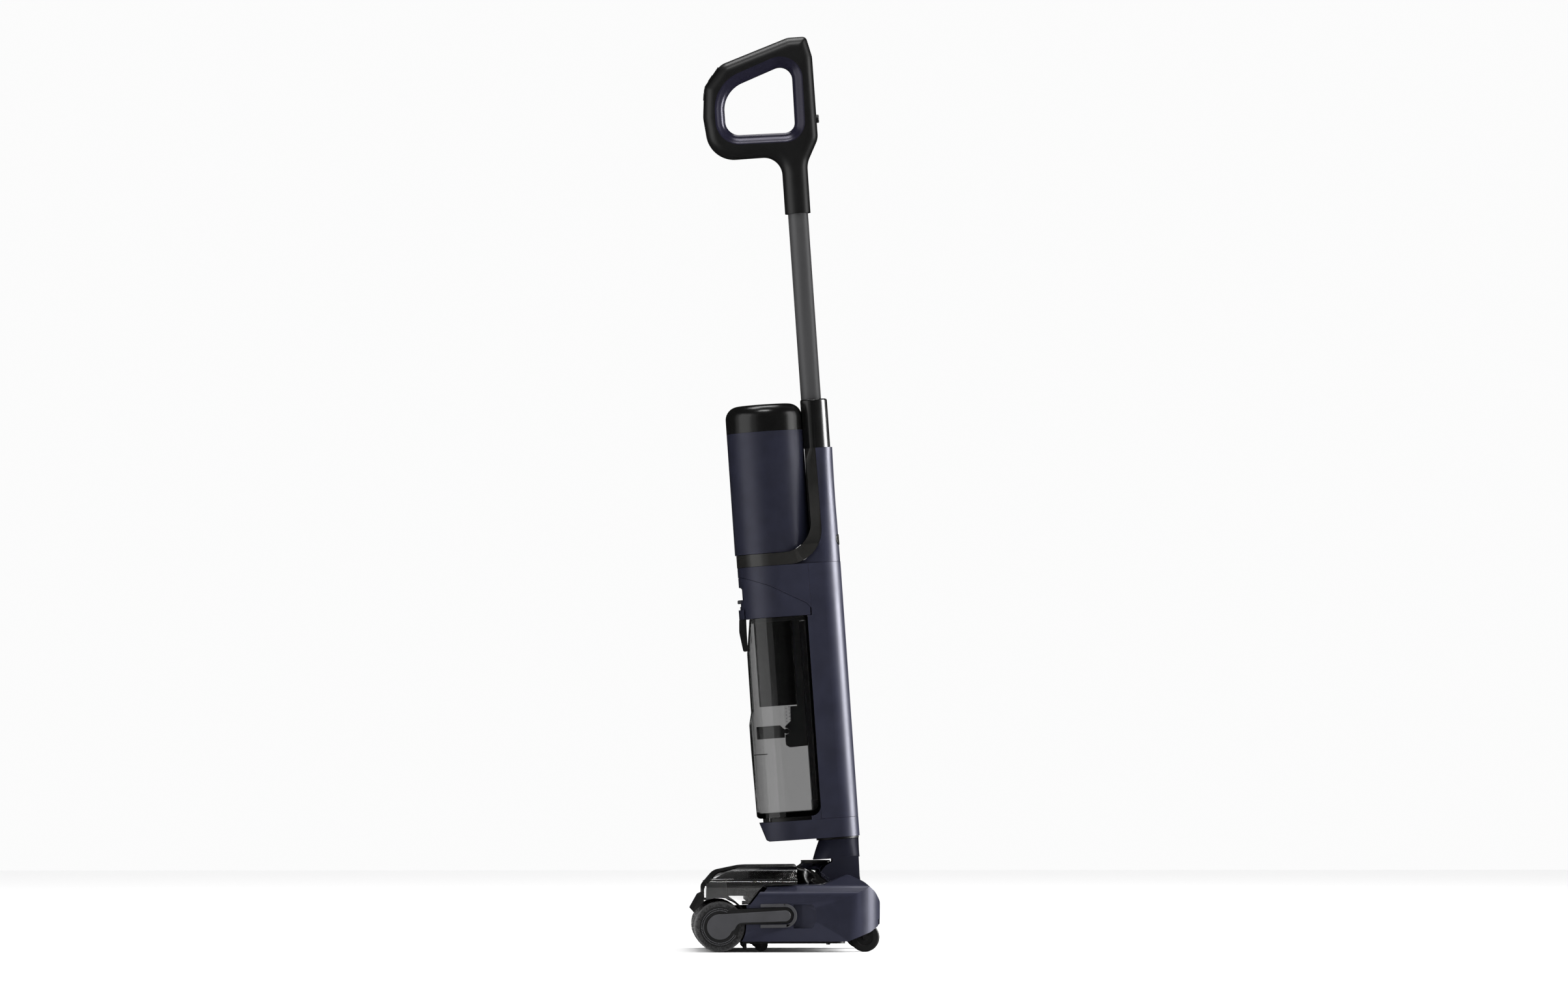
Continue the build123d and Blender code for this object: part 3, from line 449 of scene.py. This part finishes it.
def pile_fibres(rng):
    """Narrow triangles that stand on the sleeve and on its ends, each leaning its own way."""
    turn = rng.random(FIBRES) * 2 * math.pi
    on_end = rng.random(FIBRES) < END_SHARE
    radius = np.where(on_end, CORE_R + 0.8 + rng.random(FIBRES) * (SLEEVE_R - CORE_R - 0.8), SLEEVE_R + 0.2)
    end_y = np.where(rng.random(FIBRES) < 0.5, -ROLLER_HALF, ROLLER_HALF)
    y = np.where(on_end, end_y, (rng.random(FIBRES) * 2 - 1) * (ROLLER_HALF - 0.5))
    zero, endways = np.zeros(FIBRES), np.array([0, 1, 0])
    out = np.stack([np.cos(turn), zero, np.sin(turn)], 1)
    sideways = np.stack([-np.sin(turn), zero, np.cos(turn)], 1)
    ahead = np.where(on_end[:, None], np.sign(y)[:, None] * endways, out)
    foot = np.array(ROLLER) + out * radius[:, None] + y[:, None] * endways
    lean = sideways * (rng.random(FIBRES)[:, None] * 1.6 - 0.4)
    lean = lean + endways * (rng.random(FIBRES)[:, None] - 0.5)
    tip = foot + ahead * (1.0 + 0.9 * rng.random(FIBRES))[:, None] + lean * 0.8
    across = sideways * rng.standard_normal(FIBRES)[:, None]
    width = FIBRE_WIDTH * (across + endways * rng.standard_normal(FIBRES)[:, None])
    return np.stack([foot - width, foot + width, tip], 1).reshape(-1, 3)


def roller_pile():
    """Dense short pile: a sleeve with fibres that stand out of it, flattened where it meets the floor."""
    rng = np.random.default_rng(SEED)
    points, faces = pile_sleeve(rng)
    first = len(points)
    points = np.concatenate([points, pile_fibres(rng)])
    points[:, 2] = np.maximum(points[:, 2], 0.05)
    faces += [(first + 3 * k, first + 3 * k + 1, first + 3 * k + 2) for k in range(FIBRES)]
    piece("roller_pile", points, faces, "roller_cloth", "roller", replaced=("roller_fabric",))


# ---- cleaning head ------------------------------------------------------------------------------
DUCT_X = 37.8                           # axis of the suction duct where it leaves the head


def suction_bellows():
    """Soft bellows between the head and the neck."""
    low, high, folds, steps, bore = 81.0, 108.2, 8, 6, 10.0
    profile = []
    for k in range(folds * steps + 1):
        t = k / (folds * steps)
        profile.append((11.8 + 0.9 * math.cos(2 * math.pi * folds * t), low + (high - low) * t))
    profile += [(bore, high), (bore, low)]
    points, faces = lathe(profile, 64, (DUCT_X, 0, 0), "Z")
    obj = piece("suction_bellows", points, faces, "rubber", None, replaced=("suction_hose",))
    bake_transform(obj)


def arm_inlay_outline():
    """Disc over the roller's end that runs back into a bar."""
    fillet = [(-62.2, 27.5), (-60.6, 31), (-58.4, 33.6), (-55.5, 35.0), (-52, 35.5)]
    return np.array(arc(ROLLER[0], ROLLER[2], 15.2, 82, 338, 48) + fillet + arc(-2.0, 43.6, 6.6, -90, 90, 24))


def arm_inlays():
    """Satin grey inlay on each side arm."""
    loop = arm_inlay_outline()
    for name, low, high, body in (("arm_inlay_right", -121.7, -120.6, "release_arm"),
                                  ("arm_inlay_left", 120.6, 121.7, "base")):
        points, faces = plate(loop, low, high)
        soften(piece(name, points, faces, "grey_plastic", body), EDGE_WIDTH)


def pins(name, spots, radius, low, high, slot, body, place=HEAD):
    """Small round studs along Y at the spots (x, z), as one piece. Their bore is too fine to be seen."""
    segments, bore = 10, 0.05
    points, faces = [], []
    for x, z in spots:
        profile = [(radius, low), (radius, high), (bore, high), (bore, low)]
        stud, sides = lathe(profile, segments, (x, 0, z))
        faces += [tuple(i + len(points) for i in f) for f in sides]
        points += stud
    return piece(name, points, faces, slot, body, place)


def arm_teeth():
    """Serrated ring round the end of each side arm, open where the arm runs back."""
    opening, below, above = 0.35, -0.85, 0.72       # direction of the opening, and its ends from there
    spots = []
    for a in [2 * math.pi * k / 72 for k in range(72)]:
        from_opening = math.atan2(math.sin(a - opening), math.cos(a - opening))
        if not below < from_opening < above:
            spots += [(ROLLER[0] + r * math.cos(a), ROLLER[2] + r * math.sin(a)) for r in (19.4, 21.6)]
    pins("arm_teeth_right", spots, 0.62, -121.45, -120.8, "grey_plastic", "release_arm")
    pins("arm_teeth_left", spots, 0.62, 120.8, 121.45, "grey_plastic", "base")


def loft(rings):
    """Points and faces through rings of the same number of points, closed from the last ring to the first."""
    n = len(rings[0])
    points = [p for ring in rings for p in ring]
    faces = []
    for k in range(len(rings)):
        low, high = k * n, (k + 1) % len(rings) * n
        faces += [(low + i, low + (i + 1) % n, high + (i + 1) % n, high + i) for i in range(n)]
    return points, faces


def flare_ring(z, cx, rx, ry, inset):
    """One level of the flare, from its centre and its reach in X and Y, cut back from the neck's hub."""
    hub_x, hub_z, hub_room, hub_half = 66.0, 83.0, 26.2, 30.4
    points = []
    for a in [2 * math.pi * k / 96 for k in range(96)]:
        ripple = 0.45 * math.sin(7 * a + 0.35 * z) * min(1, max(0, (104 - z) / 8))
        x, y = cx + (rx - inset + ripple) * math.cos(a), (ry - inset + ripple) * math.sin(a)
        if abs(y) < hub_half and abs(z - hub_z) < hub_room:
            x = min(x, hub_x - math.sqrt(hub_room ** 2 - (z - hub_z) ** 2) - 2 + inset)
        points.append((x, y, z))
    return points


def duct_flare():
    """Smoked clear collar that flares down onto the deck, with a dark ring inside its mouth."""
    wall = 2.0
    # height, centre, and reach in X and in Y of each level
    levels = [(106.0, 37.8, 17.7, 17.7), (104.6, 37.7, 17.6, 20.0), (102.6, 36.5, 18.9, 24.5),
              (100.6, 35.1, 20.7, 28.5), (97, 35.6, 21.7, 31.4), (93.5, 36.9, 23.0, 33.4),
              (90, 38.7, 24.8, 35.0), (86.8, 40.7, 26.7, 36.6), (83.5, 42.4, 28.5, 38.4),
              (81, 43.9, 30.0, 39.6), (79.2, 44.4, 30.5, 40.0)]
    outside = [flare_ring(*level, 0) for level in levels]
    rings = outside + [flare_ring(*level, wall) for level in reversed(levels)]
    points, faces = loft(rings)
    piece("duct_flare", points, faces, "clear_cover", "base", replaced=("duct_collar",))
    profile = [(16.9, 97.5), (17.0, 105.8), (13.6, 105.8), (12.9, 97.5)]
    points, faces = lathe(profile, 72, (DUCT_X, 0, 0), "Z")
    soften(piece("duct_mouth_ring", points, faces, "black_plastic", "base"), 0.0006)


def channel_body():
    """Points and faces of the air channel: grids of its top and of its floor, joined round the rim."""
    xs, ys = np.linspace(-92.5, 11.5, 53), np.linspace(-110.5, 110.5, 75)
    side = np.interp(xs, [-92.5, -90, -84, -72, -50, 12], [68, 80, 88.5, 94.5, 98.4, 99.4])
    low = np.interp(xs, [-92.5, -40, -27, 12], [67.5, 67.5, 80.2, 80.6])
    crown = np.interp(np.abs(ys), [0, 60, 88, 104, 110.5], [100.4, 99.4, 96.6, 86.5, 79.5])
    blend, least = 1.5, 0.5                 # how softly side and crown meet, and the channel's least height
    top = -np.logaddexp(-side[:, None] / blend, -crown[None, :] / blend) * blend
    top = np.maximum(top, low[:, None] + least)
    nx, ny = len(xs), len(ys)
    count = nx * ny
    points = [(x, y, top[i, j]) for i, x in enumerate(xs) for j, y in enumerate(ys)]
    points += [(x, y, low[i]) for i, x in enumerate(xs) for y in ys]
    corners = [layer + i * ny + j for layer in (0, count) for i in range(nx - 1) for j in range(ny - 1)]
    faces = [(c, c + ny, c + ny + 1, c + 1) for c in corners]
    rim = list(range(ny)) + [i * ny + ny - 1 for i in range(1, nx)]
    rim += [(nx - 1) * ny + j for j in range(ny - 2, -1, -1)] + [i * ny for i in range(nx - 2, 0, -1)]
    faces += [(a, b, b + count, a + count) for a, b in zip(rim, rim[1:] + rim[:1])]
    return points, faces


def cover_channel():
    """Dark air channel under the clear cover, with one block over the roller and one behind it."""
    points, faces = channel_body()
    soften(piece("cover_channel", points, faces, "black_gloss", "brush_cover"), 0.0008)
    room, half_width = 34.4, 112.5          # radius left free round the roller's axis; blocks' half width
    above_roller = [(x, ROLLER[2] + math.sqrt(room ** 2 - (x - ROLLER[0]) ** 2))
                    for x in np.linspace(-95.8, -66, 15)]
    blocks = {"cover_front_block": [(-95.8, 82)] + above_roller + [(-70.9, 70), (-72, 86)],
              "cover_rear_block": [(-46.6, 73), (-46.6, 59.4), (-45.2, 59.6), (-34.6, 73)]}
    for name, side in blocks.items():
        points, faces = plate(np.array(side), -half_width, half_width)
        soften(piece(name, points, faces, "black_plastic", "brush_cover", flat=True), 0.0006)


# ---- dirty water tank ---------------------------------------------------------------------------
def fill_line():
    """Thin raised line on the right front of the dirty water tank."""
    axis_x, low, high = -50.5, 148.4, 149.4
    angles = [math.radians(a) for a in np.linspace(201, 233, 17)]
    corners = ((46.2, low), (46.7, low), (46.7, high), (46.2, high))
    points = [(axis_x + r * math.cos(a), r * math.sin(a), z) for r, z in corners for a in angles]
    n = len(angles)
    faces = [(k * n + i, (k + 1) % 4 * n + i, (k + 1) % 4 * n + i + 1, k * n + i + 1)
             for k in range(4) for i in range(n - 1)]
    faces += [(0, n, 2 * n, 3 * n), (4 * n - 1, 3 * n - 1, 2 * n - 1, n - 1)]
    piece("fill_line", points, faces, "black_plastic", "dirty_tank", BODY)


def tank_details():
    """Fill line on the tank, the foot of its intake channel, and the strainer beside the separator."""
    fill_line()
    columns, pitch = ((-51.2, 0.0), (-47.4, 2.0)), 3.9      # place and offset of each column of pins
    spots = [(x, 182.6 + pitch * row + shift) for row in range(6) for x, shift in columns]
    pins("strainer_pins", spots, 0.55, -1.2, 1.2, "black_plastic", "dirty_tank", BODY)
    foot = [(-27.8, 90), (-27.8, 78.1), (-27.2, 78.1), (-24.8, 79.2), (-22.8, 81.4), (-21.7, 84.4),
            (-21.7, 90)]
    points, faces = plate(np.array(foot), -30, 30)
    piece("duct_foot", points, faces, "black_plastic", "dirty_tank", BODY, flat=True)
    points, faces = plate(np.array([(-53.4, 181.6), (-46.7, 188), (-46.2, 205.4), (-53.4, 205.4)]), -0.6, 0.6)
    piece("strainer_plate", points, faces, "clear_cover", "dirty_tank", BODY, flat=True)


# ---- CAD nodes that stay ------------------------------------------------------------------------
WIDE_EDGES = {"trim_band": 0.0022}


def dress_nodes():
    """The scene's materials and soft edges for the CAD nodes that stay."""
    for name, obj in frame["nodes"].items():
        if obj.hide_render:
            continue
        for held in obj.material_slots:
            held.material = MATERIALS[OTHER_LOOKS.get(name, held.material.name.split(".")[0])]
        soften(obj, WIDE_EDGES.get(name, EDGE_WIDTH))


# ---- studio -------------------------------------------------------------------------------------
def area_light(name, place, target, size, power, spare=()):
    """A softbox. The spared pieces aren't lit by it, as with a flag held in front of them."""
    data = bpy.data.lights.new(name, "AREA")
    data.shape, data.size, data.size_y, data.energy = "RECTANGLE", *size, power
    obj = bpy.data.objects.new(name, data)
    obj.location = place
    obj.rotation_euler = (Vector(target) - Vector(place)).to_track_quat("-Z", "Y").to_euler()
    bpy.context.scene.collection.objects.link(obj)
    obj.visible_camera = obj.visible_transmission = False
    if spare:
        flagged = bpy.data.collections.new(name + "_spares")
        obj.light_linking.receiver_collection = flagged
        for node in spare:
            flagged.objects.link(bpy.data.objects.get(node) or frame["nodes"][node])
        for member in flagged.collection_objects:
            member.light_linking.link_state = "EXCLUDE"


SOFT_FILL, REFLECTED = 1.0, 0.012       # strength of the world for matt surfaces, and for reflections
DIMMED = 0.85                           # share that each bounce takes from the world seen through glass


def world():
    """White behind the machine and for soft fill, but dark for reflections, as between black flags."""
    sky = bpy.data.worlds.new("studio")
    bpy.context.scene.world = sky
    sky.use_nodes = True
    tree = sky.node_tree
    tree.nodes.clear()
    new, link = tree.nodes.new, tree.links.new
    out, back, path = new("ShaderNodeOutputWorld"), new("ShaderNodeBackground"), new("ShaderNodeLightPath")

    def compute(operation, *terms, clamp=False):
        node = new("ShaderNodeMath")
        node.operation, node.use_clamp = operation, clamp
        for socket, term in zip(node.inputs, terms):
            if isinstance(term, float):
                socket.default_value = term
            else:
                link(term, socket)
        return node.outputs[0]

    # what the inner parts show of the room comes dimmed through the glass
    bounces = compute("ADD", path.outputs["Diffuse Depth"], path.outputs["Glossy Depth"])
    left = compute("MULTIPLY_ADD", bounces, -DIMMED, 1.0, clamp=True)
    through = compute("MULTIPLY", path.outputs["Is Transmission Ray"], left)
    seen = compute("MAXIMUM", path.outputs["Is Camera Ray"], through)
    fill = compute("MULTIPLY_ADD", path.outputs["Is Diffuse Ray"], SOFT_FILL, REFLECTED)
    link(compute("MAXIMUM", seen, fill), back.inputs["Strength"])
    back.inputs["Color"].default_value = (0.97, 0.97, 0.97, 1)
    link(back.outputs[0], out.inputs["Surface"])


def floor():
    """Wide pale floor."""
    reach = 6
    corners = [(-reach, -reach, 0), (reach, -reach, 0), (reach, reach, 0), (-reach, reach, 0)]
    mesh = bpy.data.meshes.new("floor")
    mesh.from_pydata(corners, [], [(0, 1, 2, 3)])
    mesh.materials.append(principled("floor_paint", (0.93, 0.93, 0.93), 0.8, edge_wear=0.0, tone_change=0.01,
                                     Specular_IOR_Level=0.1))
    obj = bpy.data.objects.new("floor", mesh)
    bpy.context.scene.collection.objects.link(obj)
    obj.visible_glossy = False


def camera():
    """Long lens at the machine's right side, a little in front of it and low."""
    data = bpy.data.cameras.new("camera")
    data.sensor_width, data.lens, data.clip_end = 36.0, 190.4, 100.0
    obj = bpy.data.objects.new("camera", data)
    bpy.context.scene.collection.objects.link(obj)
    obj.location = (-0.29, -10.0, 0.256)
    obj.rotation_euler = (Vector((0.0, 0.0, 0.550)) - obj.location).to_track_quat("-Z", "Y").to_euler()
    bpy.context.scene.camera = obj


def studio():
    """Room, floor and camera, with softboxes behind, in front of and above the machine."""
    world()
    floor()
    camera()
    rear = dict(place=(2.9, -0.05, 1.25), target=(0, 0, 0.9), size=(1.5, 2.2))
    spare = ("upper_housing", "top_cap", "handle_shell", "handle_tube", "neck_yoke")
    area_light("rear_softbox", power=250, spare=spare, **rear)
    area_light("rear_softbox_low", power=25, **rear)
    area_light("front_softbox", (-2.15, -1.20, 0.9), (0, 0, 0.5), (3.6, 2.6), 11)
    area_light("front_softbox_core", (-2.10, -1.05, 0.9), (0, 0, 0.5), (1.7, 2.2), 11)
    area_light("top_softbox", (-0.1, 0.55, 2.9), (0, 0, 0.5), (1.6, 0.8), 24, spare=("duct_seal",))
    area_light("top_kicker", (-0.1, -1.1, 2.6), (0, 0, 0.3), (0.9, 0.25), 11)
    bpy.context.scene.view_settings.view_transform = "Standard"


handle()
roller_pile()
suction_bellows()
arm_inlays()
arm_teeth()
duct_flare()
cover_channel()
tank_details()
dress_nodes()
studio()
